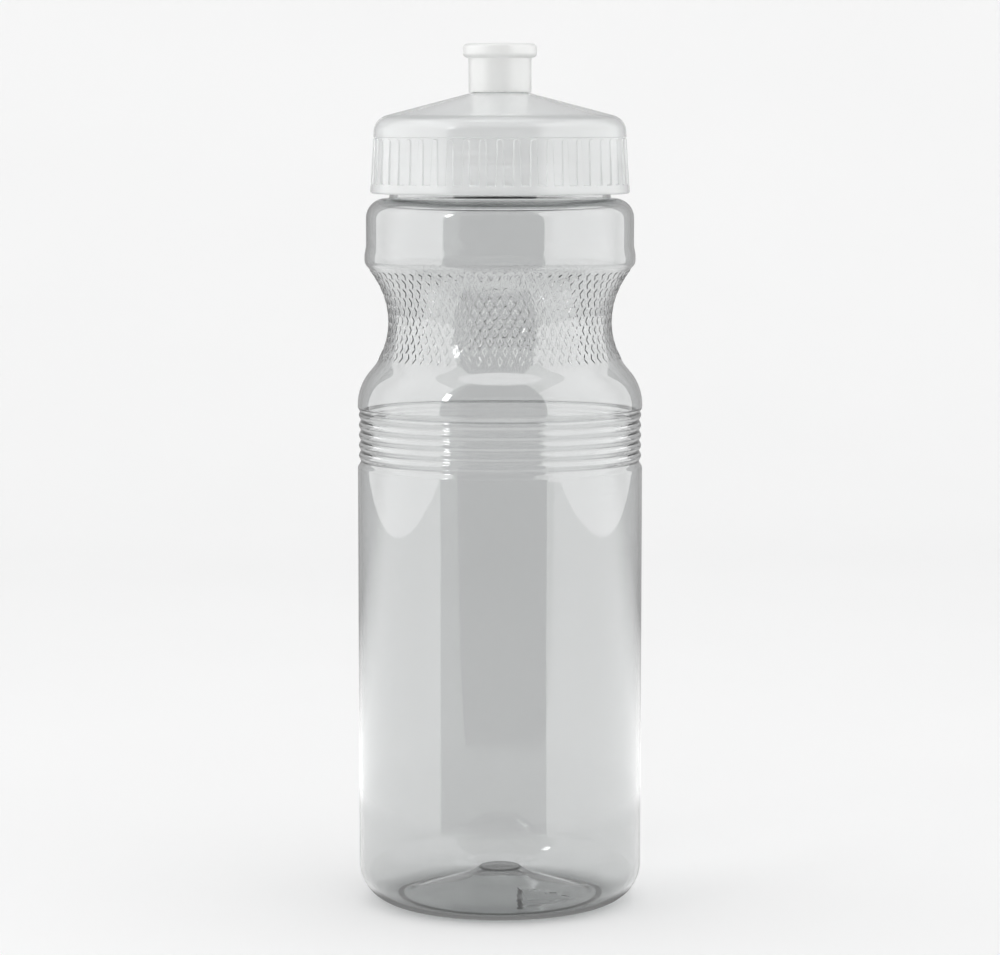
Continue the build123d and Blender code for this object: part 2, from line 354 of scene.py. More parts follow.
print("waist at", round(WAIST_HEIGHT, 2), "collar at", round(COLLAR_LOW, 2))


def waist_radius(z):
    """Radius of the bottle's smooth side at a height between the bulge and the collar."""
    if z >= WAIST_HEIGHT:
        return WAIST + WAIST_UPPER - math.sqrt(WAIST_UPPER ** 2 - (z - WAIST_HEIGHT) ** 2)
    join = BULGE_HIGH + BULGE_ROUND * math.sin(math.radians(BULGE_TURN))
    if z >= join:
        return WAIST + WAIST_LOWER - math.sqrt(WAIST_LOWER ** 2 - (z - WAIST_HEIGHT) ** 2)
    return BODY - BULGE_ROUND + math.sqrt(BULGE_ROUND ** 2 - (z - BULGE_HIGH) ** 2)


# %% Outline below and above the diamond band
DIAMOND_COUNT, DIAMOND_ROWS, DIAMOND_PITCH = 72, 10, 2.34
BAND_LOW = WAIST_HEIGHT - 10.4
BAND_HIGH = BAND_LOW + (DIAMOND_ROWS + 0.5) * DIAMOND_PITCH


def heel_and_side(ribbed=True):
    """From the inner edge of the standing ring up to the lower edge of the diamond band."""
    points = [(RING_INNER, 0.0)] + run((RING_INNER, 0.0), (RING_OUTER, 0.0), 2)
    points += arc((RING_OUTER, HEEL), HEEL, -90, 0, 18)[1:]
    points += run((BODY, HEEL), (BODY, STRAIGHT_TOP - 1.0), 8)[:-1]
    lead_in = [
        (BODY, STRAIGHT_TOP - 1.0, 0), (BODY, STRAIGHT_TOP - 0.2, STEP_ROUND),
        (RIB_BASE, RIBS_LOW + 0.2, STEP_ROUND), (RIB_BASE, RIBS_LOW + 1.0, 0),
    ]
    points += rounded(lead_in, 4)[:-2]
    if ribbed:
        for rib in range(RIB_COUNT):
            foot = RIBS_LOW + 0.6 + rib * RIB_PITCH
            for step in range(10):
                share = step / 10
                wave = (1 - math.cos(2 * math.pi * share)) / 2
                radius = RIB_BASE + (RIB_CREST - RIB_BASE) * wave ** 0.8
                points.append((radius, foot + share * RIB_PITCH))
    else:
        points += run((RIB_BASE, RIBS_LOW + 0.6), (RIB_BASE, RIBS_HIGH), 12)
    run_out = [
        (RIB_BASE, RIBS_HIGH + 0.1, 0), (RIB_BASE, RIBS_HIGH + 0.4, STEP_ROUND / 2),
        (BODY, BULGE_LOW + 0.9, STEP_ROUND), (BODY, BULGE_HIGH, 0),
    ]
    points += rounded(run_out, 4)[1:]
    steps = 12
    points += [(waist_radius(z), z) for z in
               (BULGE_HIGH + (BAND_LOW - BULGE_HIGH) * (i + 1) / steps for i in range(steps - 1))]
    return points


def collar_and_neck():
    """From the upper edge of the diamond band up to the lip's outer edge."""
    corners = [
        (waist_radius(BAND_HIGH), BAND_HIGH, 0),
        (COLLAR, COLLAR_LOW, 2.4),
        (COLLAR, COLLAR_LOW + 2.4, 4.0),
        (COLLAR_BAND, COLLAR_LOW + 4.4, 4.0),
        (COLLAR_BAND, COLLAR_HIGH, 0),
    ]
    points = rounded(corners)[1:]
    points += arc((COLLAR_BAND - SHOULDER, COLLAR_HIGH), SHOULDER, 0, 90, 9)[1:]
    points += rounded([(NECK + 1.1, NECK_BASE, 0), (NECK, NECK_BASE, 0.5), (NECK, NECK_BASE + 1.0, 0)])[1:]
    points += run((NECK, NECK_BASE + 1.0), (NECK, LIP - LIP_ROUND), 6)
    return points


def lip():
    """Over the lip, from its outer edge to its inner one."""
    inner = NECK - WALL
    outside = arc((NECK - LIP_ROUND, LIP - LIP_ROUND), LIP_ROUND, 0, 90, 4)[1:]
    return outside + arc((inner + LIP_ROUND, LIP - LIP_ROUND), LIP_ROUND, 90, 180, 4)


def inner_side():
    """The inside wall from the lip down to the standing ring: the outside moved in by the wall."""
    steps = 24
    waist = [(waist_radius(z), z) for z in
             (BAND_LOW + (BAND_HIGH - BAND_LOW) * i / steps for i in range(steps + 1))]
    outside = heel_and_side(ribbed=False)[3:] + waist + collar_and_neck()
    inside = [(RING_OUTER, WALL)]
    for point in inset(outside, WALL)[1:-1]:
        if point[1] > inside[-1][1] + 0.02:
            inside.append(point)
    return inside[::-1]


# %% [markdown]
# ## The diamond grip
# The waist is gripped by ten rows of small raised diamonds, 72 in a row, each row half a step on from the
# last. A bump map would look flat at the edge of the bottle, where the light bends most, so they are
# real shape. A lattice of diamond-shaped faces is laid round the waist, and Geometry Nodes does the rest:
# it insets each face with Extrude Mesh and Scale Elements, then lifts and narrows the top. Every face
# stays joined to its neighbours, so the outside remains one skin. The inside is left smooth.

# %% Lattice of diamond faces


def lattice_band():
    """Diamond faces round the waist; the attribute 'diamond' marks the ones to raise."""
    bm = bmesh.new()
    mark = bm.faces.layers.bool.new("diamond")
    corners = {}
    rows = DIAMOND_ROWS + 2
    columns = 2 * DIAMOND_COUNT
    for j in range(rows):
        z = min(BAND_LOW + j * DIAMOND_PITCH, BAND_HIGH)
        for k in range(columns):
            if (j + k) % 2 == 0:
                a = math.pi * k / DIAMOND_COUNT
                r = waist_radius(z)
                corners[j, k] = bm.verts.new((r * math.cos(a) * MM, r * math.sin(a) * MM, z * MM))
    for j in range(rows):
        for k in range(columns):
            if (j + k) % 2 == 0:
                continue
            left, right = corners[j, (k - 1) % columns], corners[j, (k + 1) % columns]
            below, above = corners.get((j - 1, k)), corners.get((j + 1, k))
            face = bm.faces.new([v for v in (below, right, above, left) if v])
            face[mark] = below is not None and above is not None
    return placed("waist_lattice", mesh_of("waist_lattice", bm))


# %% Geometry Nodes that raise the diamonds
DIAMOND_SHAPE = {"Foot share": 0.55, "Top share": 0.7, "Height": 0.13 * MM}


def tree_with_inputs(name, sockets):
    """A geometry node tree with a geometry input, named float inputs and a geometry output."""
    tree = bpy.data.node_groups.new(name, "GeometryNodeTree")
    tree.interface.new_socket("Geometry", in_out="INPUT", socket_type="NodeSocketGeometry")
    for socket, default in sockets.items():
        item = tree.interface.new_socket(socket, in_out="INPUT", socket_type="NodeSocketFloat")
        item.default_value = default
    tree.interface.new_socket("Geometry", in_out="OUTPUT", socket_type="NodeSocketGeometry")
    return tree


def run_tree(piece, tree, values):
    """Runs a tree on a piece and returns the result as a plain mesh; the modifier is gone after."""
    modifier = piece.modifiers.new(tree.name, "NODES")
    modifier.node_group = tree
    for item in tree.interface.items_tree:
        if item.in_out == "INPUT" and item.name in values:
            modifier[item.identifier] = values[item.name]
    depsgraph = bpy.context.evaluated_depsgraph_get()
    mesh = bpy.data.meshes.new_from_object(piece.evaluated_get(depsgraph), depsgraph=depsgraph)
    piece.modifiers.remove(modifier)
    return mesh


def end_tree(tree, geometry, material):
    """Makes a tree's end: real geometry with its material."""
    real = put(tree, "GeometryNodeRealizeInstances", {}, {"Geometry": geometry.outputs[0]})
    dress = put(tree, "GeometryNodeSetMaterial", {}, {"Geometry": real.outputs[0], "Material": material})
    put(tree, "NodeGroupOutput", {}, {"Geometry": dress.outputs[0]})
    return tree


def extrude(tree, mesh, faces, offset):
    """Extrudes the chosen faces by an offset."""
    inputs = {"Mesh": mesh, "Selection": faces, "Offset Scale": offset}
    return put(tree, "GeometryNodeExtrudeMesh", {"mode": "FACES"}, inputs)


def scale_faces(tree, geometry, faces, share):
    """Scales each chosen face about its own middle."""
    inputs = {"Geometry": geometry, "Selection": faces, "Scale": share}
    return put(tree, "GeometryNodeScaleElements", {"domain": "FACE"}, inputs)


def diamond_tree(material):
    """Insets each marked face to a foot, lifts it and narrows its top."""
    tree = tree_with_inputs("raise_diamonds", DIAMOND_SHAPE)
    source = put(tree, "NodeGroupInput")
    marked = put(tree, "GeometryNodeInputNamedAttribute", {"data_type": "BOOLEAN"}, {"Name": "diamond"})
    foot = extrude(tree, source.outputs["Geometry"], marked.outputs["Attribute"], 0.0)
    rim = foot.outputs["Top"]
    narrow = scale_faces(tree, foot.outputs["Mesh"], rim, source.outputs["Foot share"])
    lift = extrude(tree, narrow.outputs[0], rim, source.outputs["Height"])
    top = scale_faces(tree, lift.outputs["Mesh"], lift.outputs["Top"], source.outputs["Top share"])
    return end_tree(tree, top, material)


lattice = lattice_band()
diamonds = run_tree(lattice, diamond_tree(polyester), DIAMOND_SHAPE)
bpy.data.objects.remove(lattice)

# %% [markdown]
# ## The base
# The base is a shallow cone with a round boss, and a wedge-shaped pocket of the kind that turns a bottle
# the right way in a printing machine. The pocket's sloping walls rise from its flat floor. A grid of
# rings can't follow the wedge's straight legs, so the base is cut into triangles that keep both the rings
# and the legs as edges (a constrained Delaunay triangulation), and then lifted to its height.

# %% Base sizes and heights
BOSS_FOOT, BOSS_TOP, FLOOR_RISE, BOSS_RISE = 8.4, 5.1, 5.3, 7.4
POCKET_CORNER = Vector((7.2, -13.4))
POCKET_LEGS = (math.radians(-102.0), math.radians(9.5))
POCKET_FLOOR = 0.8
POCKET_SLOPE = 1.54
POCKET_ROWS = (0.0, 0.6, 1.2, 1.8, 2.4)        # lines of points up the pocket's walls


def cone_height(radius):
    """Height of the underside of the base at a radius."""
    if radius >= RING_INNER:
        return 0.0
    if radius >= BOSS_FOOT:
        return FLOOR_RISE * (RING_INNER - radius) / (RING_INNER - BOSS_FOOT)
    if radius >= BOSS_TOP:
        return FLOOR_RISE + (BOSS_RISE - FLOOR_RISE) * (BOSS_FOOT - radius) / (BOSS_FOOT - BOSS_TOP)
    return BOSS_RISE


def wedge_depth(point, moved):
    """How far inside the pocket's wedge a point lies; the wedge is moved out on all sides by moved."""
    inside = []
    for leg, side in zip(POCKET_LEGS, (1, -1)):
        along = Vector((math.cos(leg), math.sin(leg)))
        across = Vector((-along.y, along.x)) * side
        inside.append((Vector(point) - POCKET_CORNER).dot(across) + moved)
    return min(inside)


def base_height(point, moved, floor, lift):
    """Height of one skin of the base: the cone, or the pocket's sloping wall or floor where lower."""
    cone = cone_height(math.hypot(*point)) + lift
    wall = floor + max(-wedge_depth(point, moved), 0.0) * POCKET_SLOPE
    return min(cone, wall)


def wedge_line(moved, steps):
    """The wedge's two legs as points, from one end over the corner to the other end."""
    half = (POCKET_LEGS[1] - POCKET_LEGS[0]) / 2
    middle = (POCKET_LEGS[1] + POCKET_LEGS[0]) / 2
    corner = POCKET_CORNER - Vector((math.cos(middle), math.sin(middle))) * (moved / math.sin(half))
    legs = []
    for leg in POCKET_LEGS:
        along = Vector((math.cos(leg), math.sin(leg)))
        reach = 0.0
        while (corner + along * (reach + 0.1)).length < RING_INNER - 0.15:
            reach += 0.1
        legs.append([corner + along * (reach * i / steps) for i in range(1, steps + 1)])
    return legs[0][::-1] + [corner] + legs[1]


def base_skin(bm, edge_ring, moved, floor, lift, edge_radius):
    """Fills the inside of a ring with one skin of the base."""
    points = [Vector((v.co.x / MM, v.co.y / MM)) for v in edge_ring]
    edges = [(i, (i + 1) % len(points)) for i in range(len(points))]
    radii = [edge_radius - (edge_radius - BOSS_FOOT) * i / 8 for i in range(1, 9)]
    radii += [BOSS_FOOT - (BOSS_FOOT - BOSS_TOP) * i / 3 for i in range(1, 4)]
    radii += [BOSS_TOP * 0.66, BOSS_TOP * 0.33]
    for radius in radii:
        share = min(1.0, radius / edge_radius * 1.2)
        count = max(24, int(len(edge_ring) * share) // 8 * 8)
        first = len(points)
        points += [Vector((radius * math.cos(a), radius * math.sin(a))) for a in even_angles(count)]
        if radius in (BOSS_FOOT, BOSS_TOP):
            edges += [(first + i, first + (i + 1) % count) for i in range(count)]
    for offset in POCKET_ROWS:
        first = len(points)
        line = wedge_line(moved + offset, 24)
        points += line
        edges += [(first + i, first + i + 1) for i in range(len(line) - 1)]
    flat, _, faces, origins, _, _ = delaunay_2d_cdt(points, edges, [], 0, 1e-5)
    verts = []
    for point, source in zip(flat, origins):
        known = [i for i in source if i < len(edge_ring)]
        if known:
            verts.append(edge_ring[known[0]])
        else:
            z = base_height(point, moved, floor, lift)
            verts.append(bm.verts.new((point.x * MM, point.y * MM, z * MM)))
    made = 0
    for face in faces:
        corners = [verts[i] for i in face]
        middle = (flat[face[0]] + flat[face[1]] + flat[face[2]]) / 3
        if len(set(corners)) == 3 and middle.length < edge_radius:
            bm.faces.new(corners)
            made += 1
    print("base skin of", made, "triangles")


# %% [markdown]
# ## The wall as one closed skin
# The outside and the inside of the wall are both turned, and they meet over the lip and under the base.
# The mould opened along two lines, front and back. It left a hair-fine ridge there: one column of points
# pushed out by 0.04 mm, between two that are drawn close to it.

# %% Bottle wall
COLUMNS = 4 * DIAMOND_COUNT
PARTING_HALF_WIDTH = math.radians(0.35)


def parted_angles():
    """Even columns, with those beside the front and back parting lines drawn close to them."""
    angles = even_angles(COLUMNS)
    for line in (COLUMNS // 4, 3 * COLUMNS // 4):
        angles[line - 1] = angles[line] - PARTING_HALF_WIDTH
        angles[line + 1] = angles[line] + PARTING_HALF_WIDTH
    return angles


def raise_parting(rings):
    """Pushes the middle column of each parting line out."""
    for points in rings:
        for line in (COLUMNS // 4, 3 * COLUMNS // 4):
            out = Vector((points[line].co.x, points[line].co.y, 0)).normalized()
            points[line].co += out * (PARTING_RIDGE * MM)


def bottle_wall():
    """The whole wall: outside with diamonds, lip, inside and both skins of the base."""
    bm = bmesh.new()
    bm.from_mesh(diamonds)
    bm.verts.ensure_lookup_table()
    angles = parted_angles()
    coarse = {}
    for v in bm.verts:
        for name, height in (("low", BAND_LOW), ("high", BAND_HIGH)):
            if abs(v.co.z / MM - height) < 1e-3:
                coarse.setdefault(name, []).append(v)
    for name, first in (("low", 0.0), ("high", math.pi / DIAMOND_COUNT)):
        step = 2 * math.pi / DIAMOND_COUNT
        coarse[name].sort(
            key=lambda v: round((math.atan2(v.co.y, v.co.x) - first) / step) % DIAMOND_COUNT
        )
    below = lathe(bm, heel_and_side(), angles)
    raise_parting(below[4:])
    bridge(bm, below[-1], coarse["low"])
    above = lathe(bm, collar_and_neck() + lip() + inner_side(), angles)
    raise_parting(above[:12])
    first = above[0]
    half_step = 2
    bridge(bm, coarse["high"], first[half_step:] + first[:half_step])
    base_skin(bm, below[0], WALL, POCKET_FLOOR, 0.0, RING_INNER)
    base_skin(bm, above[-1], 0.0, POCKET_FLOOR + WALL, WALL, RING_OUTER)
    return bm


wall = bottle_wall()
open_edges = [e for e in wall.edges if len(e.link_faces) != 2]
print("edges without two faces:", len(open_edges))
bottle = finished("blown_bottle", wall, polyester, SHARP_FROM)

# %% [markdown]
# ## The neck's thread
# A screw thread is a ridge that follows a helix. Geometry Nodes has a Spiral curve for the path and Curve
# to Mesh for the ridge. The real ridge doesn't stop square: it tapers, so that the cap catches. Here the
# section's scale does that over the first and last 7 % of the ridge. Reverse makes the helix right-hand.

# %% Thread tree
THREAD_PITCH = 25.4 / 6
THREAD_HEIGHT, THREAD_FOOT, THREAD_CREST, THREAD_SINK = 1.3, 2.2, 0.8, 0.3
NECK_THREAD_TURNS = 2.4
NECK_THREAD_TOP = LIP - 5.2
NECK_THREAD_END = -65.0
LEAD_IN_SHARE = 0.07


def thread_tree(material, side):
    """A spiral ridge whose section fades at its ends; side 1 faces outwards and -1 inwards."""
    sockets = {"Radius": 0.03, "Turns": 2.0, "Pitch": 0.004, "Lead-in share": 0.05}
    tree = tree_with_inputs("thread_ridge", sockets)
    source = put(tree, "NodeGroupInput")
    rise = maths(tree, "MULTIPLY", source.outputs["Turns"], source.outputs["Pitch"])
    path = put(
        tree,
        "GeometryNodeCurveSpiral",
        {},
        {
            "Resolution": 90,
            "Rotations": source.outputs["Turns"],
            "Start Radius": source.outputs["Radius"],
            "End Radius": source.outputs["Radius"],
            "Height": rise,
            "Reverse": True,
        },
    )
    along = put(tree, "GeometryNodeSplineParameter").outputs["Factor"]
    nearest = maths(tree, "MINIMUM", along, maths(tree, "SUBTRACT", 1.0, along))
    fade = smooth_step(tree, nearest, 0.0, source.outputs["Lead-in share"], 0.05, 1.0)
    upright = put(tree, "GeometryNodeSetCurveNormal", {"mode": "Z_UP"}, {"Curve": path.outputs[0]})
    foot = THREAD_FOOT / 2 + (THREAD_FOOT - THREAD_CREST) / 2 / THREAD_HEIGHT * THREAD_SINK
    section = put(
        tree,
        "GeometryNodeCurvePrimitiveQuadrilateral",
        {"mode": "POINTS"},
        {
            "Point 1": (-side * THREAD_SINK * MM, -foot * MM, 0),
            "Point 2": (-side * THREAD_SINK * MM, foot * MM, 0),
            "Point 3": (side * THREAD_HEIGHT * MM, THREAD_CREST / 2 * MM, 0),
            "Point 4": (side * THREAD_HEIGHT * MM, -THREAD_CREST / 2 * MM, 0),
        },
    )
    ridge = put(
        tree,
        "GeometryNodeCurveToMesh",
        {},
        {
            "Curve": upright.outputs[0],
            "Profile Curve": section.outputs[0],
            "Scale": fade,
            "Fill Caps": True,
        },
    )
    return end_tree(tree, ridge, material)


def thread_ridge(name, radius, turns, top, top_angle, material, side):
    """A right-hand ridge whose upper end is at a height and an angle in degrees."""
    holder = placed(name, bpy.data.meshes.new(name + "_holder"))
    values = {
        "Radius": radius * MM, "Turns": turns, "Pitch": THREAD_PITCH * MM, "Lead-in share": LEAD_IN_SHARE
    }
    mesh = run_tree(holder, thread_tree(material, side), values)
    bpy.data.objects.remove(holder)
    turn = math.radians(top_angle - 360 * turns)
    for v in mesh.vertices:
        x, y = v.co.x, v.co.y
        v.co.x = x * math.cos(turn) - y * math.sin(turn)
        v.co.y = x * math.sin(turn) + y * math.cos(turn)
        v.co.z += (top - turns * THREAD_PITCH) * MM
    radii = [math.hypot(v.co.x, v.co.y) / MM for v in mesh.vertices]
    print(name, "has", len(mesh.polygons), "faces, radius", round(min(radii), 2), "to", round(max(radii), 2))
    return mesh


def add_shell(piece, mesh):
    """Adds another closed shell to a piece, with outward faces."""
    bm = bmesh.new()
    bm.from_mesh(mesh)
    bmesh.ops.remove_doubles(bm, verts=bm.verts[:], dist=1e-7)
    bmesh.ops.recalc_face_normals(bm, faces=bm.faces[:])
    bm.to_mesh(mesh)
    bm.clear()
    bm.from_mesh(piece.data)
    bm.from_mesh(mesh)
    bm.to_mesh(piece.data)
    bm.free()
    piece.data.shade_smooth()
    piece.data.set_sharp_from_angle(angle=math.radians(SHARP_FROM))


neck_thread = thread_ridge(
    "neck_thread", NECK, NECK_THREAD_TURNS, NECK_THREAD_TOP, NECK_THREAD_END, polyester, 1
)
add_shell(bottle, neck_thread)
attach(bottle, "bottle")
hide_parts("bottle")

# %% [markdown]
# ## The seal
# A ring stamped from polyethylene foam sheet sits on the lip. It is turned, with softened edges, where
# the cap presses it.

# %% Seal ring
SEAL_OUTER = seal_high.x / MM
SEAL_INNER = NECK - WALL - 0.6
SEAL_LOW, SEAL_TOP = seal_low.z / MM, seal_high.z / MM
EDGE = 0.2


def rounded_box(inner, outer, low, high, edge, steps=3):
    """A closed outline with rounded corners, counter-clockwise."""
    points = arc((outer - edge, low + edge), edge, -90, 0, steps)
    points += arc((outer - edge, high - edge), edge, 0, 90, steps)
    points += arc((inner + edge, high - edge), edge, 90, 180, steps)
    points += arc((inner + edge, low + edge), edge, 180, 270, steps)
    return points


bm = bmesh.new()
lathe(bm, rounded_box(SEAL_INNER, SEAL_OUTER, SEAL_LOW, SEAL_TOP, EDGE), even_angles(192), closed=True)
seal = finished("foam_seal", bm, seal_foam, 60)
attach(seal, "seal")
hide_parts("seal_ring")

# %% [markdown]
# ## The screw cap
# The grip is a shallow panel round the skirt, crossed by 48 upright bars. Each bar stands as proud as the
# rim below and above it, widens downwards, and has a round upper end. Bars set on top of a turned skirt
# would leave seams in a milky plastic, so the skirt is one skin whose columns of points follow the edges
# of the bars: a bar's outline is a distance, and the skin rises from the panel's floor to the crest
# within half a millimetre of that outline.

# %% Cap sizes, in millimetres
SKIRT_LOW = cap_low.z / MM
POST_TOP_OF_PLUG = cap_high.z / MM
CAP_BORE = NECK + THREAD_HEIGHT + 0.5
SKIRT = CAP_BORE + 3.1
SKIRT_TOP = SKIRT - 1.2
DOME_ANGLE = 14.75
DOME_SLOPE = math.tan(math.radians(DOME_ANGLE))
SEAT = SEAL_TOP
DOME_LOW = SEAT + 0.75
DOME_CORNER, DOME_THICK = 4.4, 1.7
SEAT_INNER = SEAL_INNER - 0.1
POST, POST_WALL, BEAD_HEIGHT = 6.2, 1.1, 1.2
BEAD = POST + 0.5


def dome(r):
    """Height of the dome's upper face at a radius."""
    return DOME_LOW + (SKIRT_TOP - r) * DOME_SLOPE


def skirt(z):
    """Radius of the skirt's outer face at a height."""
    return SKIRT + (SKIRT_TOP - SKIRT) * (z - SKIRT_LOW) / (DOME_LOW - SKIRT_LOW)


POST_TOP = dome(POST) + 7.8
SKIRT_LEAN = math.degrees(math.atan2(SKIRT - SKIRT_TOP, DOME_LOW - SKIRT_LOW))
CORNER_TURN = 90 - DOME_ANGLE - SKIRT_LEAN
CORNER_REACH = DOME_CORNER * math.tan(math.radians(CORNER_TURN / 2))
BAR_COUNT = 48
PANEL_LOW, PANEL_HIGH = SKIRT_LOW + 2.4, DOME_LOW - CORNER_REACH - 1.6
BAR_TOP_WIDTH, BAR_FOOT_WIDTH, BAR_EDGE = 1.2, 1.75, 0.3
PANEL_DEPTH_TOP, PANEL_DEPTH_LOW = 0.25, 0.42
BAR_PITCH = 2 * math.pi / BAR_COUNT
BAR_END = PANEL_HIGH - 0.25 - BAR_EDGE - BAR_TOP_WIDTH / 2        # centre of a bar's round upper end
print("dome starts at", round(DOME_LOW, 2), "post top at", round(POST_TOP, 2))

# %% Skirt rows with the bars


def share_smooth(value):
    """A smooth step from 0 to 1."""
    value = min(max(value, 0.0), 1.0)
    return value * value * (3 - 2 * value)


def panel_share(z):
    """How far up the panel a height lies, from 0 to 1."""
    return min(max((z - PANEL_LOW) / (PANEL_HIGH - PANEL_LOW), 0.0), 1.0)


def bar_levels(z):
    """Half a bar's width at a height, and three steps from there over its edge."""
    half = (BAR_FOOT_WIDTH + (BAR_TOP_WIDTH - BAR_FOOT_WIDTH) * panel_share(z)) / 2
    return [half + BAR_EDGE * share for share in (0, 0.35, 0.7, 1)]


def columns_round(reaches, radius):
    """Columns from one valley over a bar to the next, as distances from the bar's middle."""
    half_columns = [0.0] + reaches + [BAR_PITCH * radius / 2]
    return [-x for x in half_columns[:0:-1]] + half_columns[:-1]


def skirt_row(bm, z):
    """One ring of the skirt whose columns follow the bars at that height."""
    levels, radius = bar_levels(z), skirt(z)
    depth = PANEL_DEPTH_LOW + (PANEL_DEPTH_TOP - PANEL_DEPTH_LOW) * panel_share(z)
    over = max(0.0, z - BAR_END)
    reaches = [math.sqrt(max(level ** 2 - over ** 2, 0.0)) for level in levels]
    verts = []
    for bar in range(BAR_COUNT):
        for x in columns_round(reaches, radius):
            away = math.hypot(x, over) - levels[0]
            r = radius - depth * share_smooth(away / BAR_EDGE)
            a = bar * BAR_PITCH + x / radius
            verts.append(bm.verts.new((r * math.cos(a) * MM, r * math.sin(a) * MM, z * MM)))
    return verts


def plain_row(bm, r, z):
    """A ring with the same columns as the grip, for the plain parts of the cap."""
    reach = skirt(min(max(z, PANEL_LOW), PANEL_HIGH))
    columns = columns_round(bar_levels(z), reach)
    return ring(bm, r, z, [bar * BAR_PITCH + x / reach for bar in range(BAR_COUNT) for x in columns])


def cap_outline_low():
    """From the bore over the skirt's lower edge up to the panel."""
    edge = 0.6
    points = [(CAP_BORE + 0.1, SKIRT_LOW + 0.3), (CAP_BORE + 0.4, SKIRT_LOW)]
    points += run((CAP_BORE + 0.4, SKIRT_LOW), (SKIRT - edge, SKIRT_LOW), 3)
    points += arc((SKIRT - edge - 0.02, SKIRT_LOW + edge), edge, -90, 0, 5)[1:]
    points += [(skirt(PANEL_LOW - 0.5), PANEL_LOW - 0.5), (skirt(PANEL_LOW - 0.12), PANEL_LOW - 0.12)]
    return points


def cap_outline_high():
    """From the panel's upper edge over the dome, up the post and down its bore to the seat."""
    lean = math.radians(SKIRT_LEAN)
    start = DOME_LOW - CORNER_REACH * math.cos(lean)
    centre_r = skirt(start) - DOME_CORNER * math.cos(lean)
    centre_z = start - DOME_CORNER * math.sin(lean)
    points = [(skirt(PANEL_HIGH + 0.12), PANEL_HIGH + 0.12), (skirt(PANEL_HIGH + 0.5), PANEL_HIGH + 0.5)]
    points += arc((centre_r, centre_z), DOME_CORNER, SKIRT_LEAN, 90 - DOME_ANGLE, 12)
    points += run(points[-1], (POST + 0.12, dome(POST + 0.12)), 8)
    bead_low = POST_TOP - BEAD_HEIGHT
    points += run((POST, dome(POST) + 0.1), (POST, bead_low - 0.2), 4)
    points += [(POST + 0.1, bead_low), (BEAD - 0.1, bead_low), (BEAD, bead_low + 0.15)]
    points += [(BEAD, POST_TOP - 0.6), (BEAD - 0.1, POST_TOP - 0.45), (POST, POST_TOP - 0.05)]
    points += [(POST - 0.2, POST_TOP)]
    inside = POST - POST_WALL
    points += [(inside + 0.2, POST_TOP), (inside, POST_TOP - 0.2)]
    ceiling = dome(inside) - DOME_THICK
    points += run((inside, POST_TOP - 0.2), (inside, ceiling + 0.3), 6)
    points += [(inside + 0.3, dome(inside + 0.3) - DOME_THICK)]
    points += run(points[-1], (SEAT_INNER, dome(SEAT_INNER) - DOME_THICK), 8)
    points += [(SEAT_INNER, SEAT + 0.1), (SEAL_INNER, SEAT), (CAP_BORE - 0.2, SEAT), (CAP_BORE, SEAT - 0.2)]
    points += run((CAP_BORE, SEAT - 0.2), (CAP_BORE, SKIRT_LOW + 0.9), 6)
    return points


def cap_skin():
    """The whole cap as one closed skin."""
    bm = bmesh.new()
    low = [plain_row(bm, r, z) for r, z in cap_outline_low()]
    half = BAR_TOP_WIDTH / 2
    heights = [PANEL_LOW + 0.15, PANEL_LOW + 0.4]
    heights += [z for _, z in run((0, PANEL_LOW + 0.4), (0, BAR_END), 5)]
    heights += [BAR_END + half * k for k in (0.35, 0.6, 0.8, 0.92, 1.0)]
    heights += [BAR_END + half + BAR_EDGE * k for k in (0.35, 0.7, 1.0)]
    heights += [PANEL_HIGH - 0.12]
    grip = [skirt_row(bm, z) for z in heights]
    high = [plain_row(bm, r, z) for r, z in cap_outline_high()]
    rings = low + grip + high
    for a, b in zip(rings, rings[1:] + rings[:1]):
        bridge(bm, a, b)
    return bm


cap = finished("ribbed_screw_cap", cap_skin(), polypropylene, 35)

# %% [markdown]
# ## What is inside the cap
# The cap's own thread runs round its bore. In the post stands a plug, held by three thin spokes so that
# the drink can pass. The spokes are made once and turned into place by Geometry Nodes.

# %% Cap thread, plug and spokes
CAP_THREAD_TURNS = 2.0
FLANK = (THREAD_FOOT - THREAD_CREST) / 2 / THREAD_HEIGHT
RIDGE_STEP = (THREAD_FOOT + THREAD_CREST) / 2 - FLANK * (THREAD_HEIGHT - 0.5) + 0.25
cap_thread_low = SKIRT_LOW + 2.2
cap_thread_top = cap_thread_low + CAP_THREAD_TURNS * THREAD_PITCH
cap_thread_end = NECK_THREAD_END + 360 * (cap_thread_top + RIDGE_STEP - NECK_THREAD_TOP) / THREAD_PITCH
cap_thread = thread_ridge(
    "cap_thread", CAP_BORE, CAP_THREAD_TURNS, cap_thread_top, cap_thread_end, polypropylene, -1
)
add_shell(cap, cap_thread)

PLUG, PLUG_LOW = 2.45, POST_TOP_OF_PLUG - 8.2
PLUG_EDGE = 0.35


def plug():
    """The round plug, closed at both ends, with a rounded top edge."""
    bm = bmesh.new()
    outline = run((0, PLUG_LOW), (PLUG, PLUG_LOW), 1)
    outline += run((PLUG, PLUG_LOW), (PLUG, POST_TOP_OF_PLUG - PLUG_EDGE), 3)
    outline += arc((PLUG - PLUG_EDGE, POST_TOP_OF_PLUG - PLUG_EDGE), PLUG_EDGE, 0, 90, 4)[1:]
    rings = lathe(bm, outline, even_angles(64))
    bm.faces.new(rings[0][::-1])
    bm.faces.new(rings[-1])
    return mesh_of("plug", bm)


